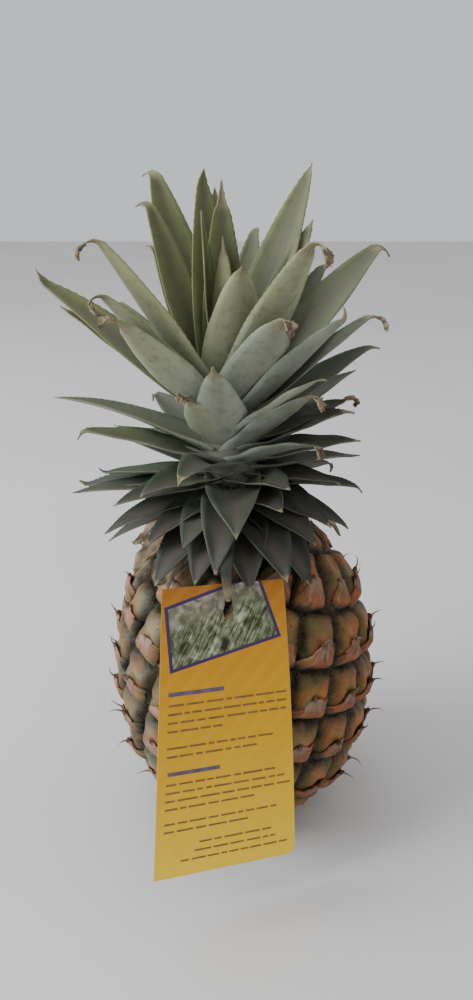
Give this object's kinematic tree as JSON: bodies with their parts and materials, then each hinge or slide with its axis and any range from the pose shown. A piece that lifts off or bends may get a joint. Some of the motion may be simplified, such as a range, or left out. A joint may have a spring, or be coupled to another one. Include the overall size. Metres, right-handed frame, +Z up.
{
  "type": "pineapple",
  "caption": "Ripe pineapple standing on its cut stalk end, with a spiky leaf crown, and a bent card tag hooked on a low leaf.",
  "frame": {"origin": "middle of the flat cut stalk end that the fruit stands on", "axes": "+Z up through the crown, -Y towards the side the card tag hangs on"},
  "size_m": [0.157, 0.1672, 0.2953],
  "materials": {
    "rind": "waxy, matt rind with papery bracts",
    "leaf": "stiff leaves with a grey bloom",
    "card": "printed card with a slight sheen"
  },
  "bodies": {
    "root": {"fruit": "rind", "crown": "leaf", "tag": "card"}
  },
  "joints": []
}
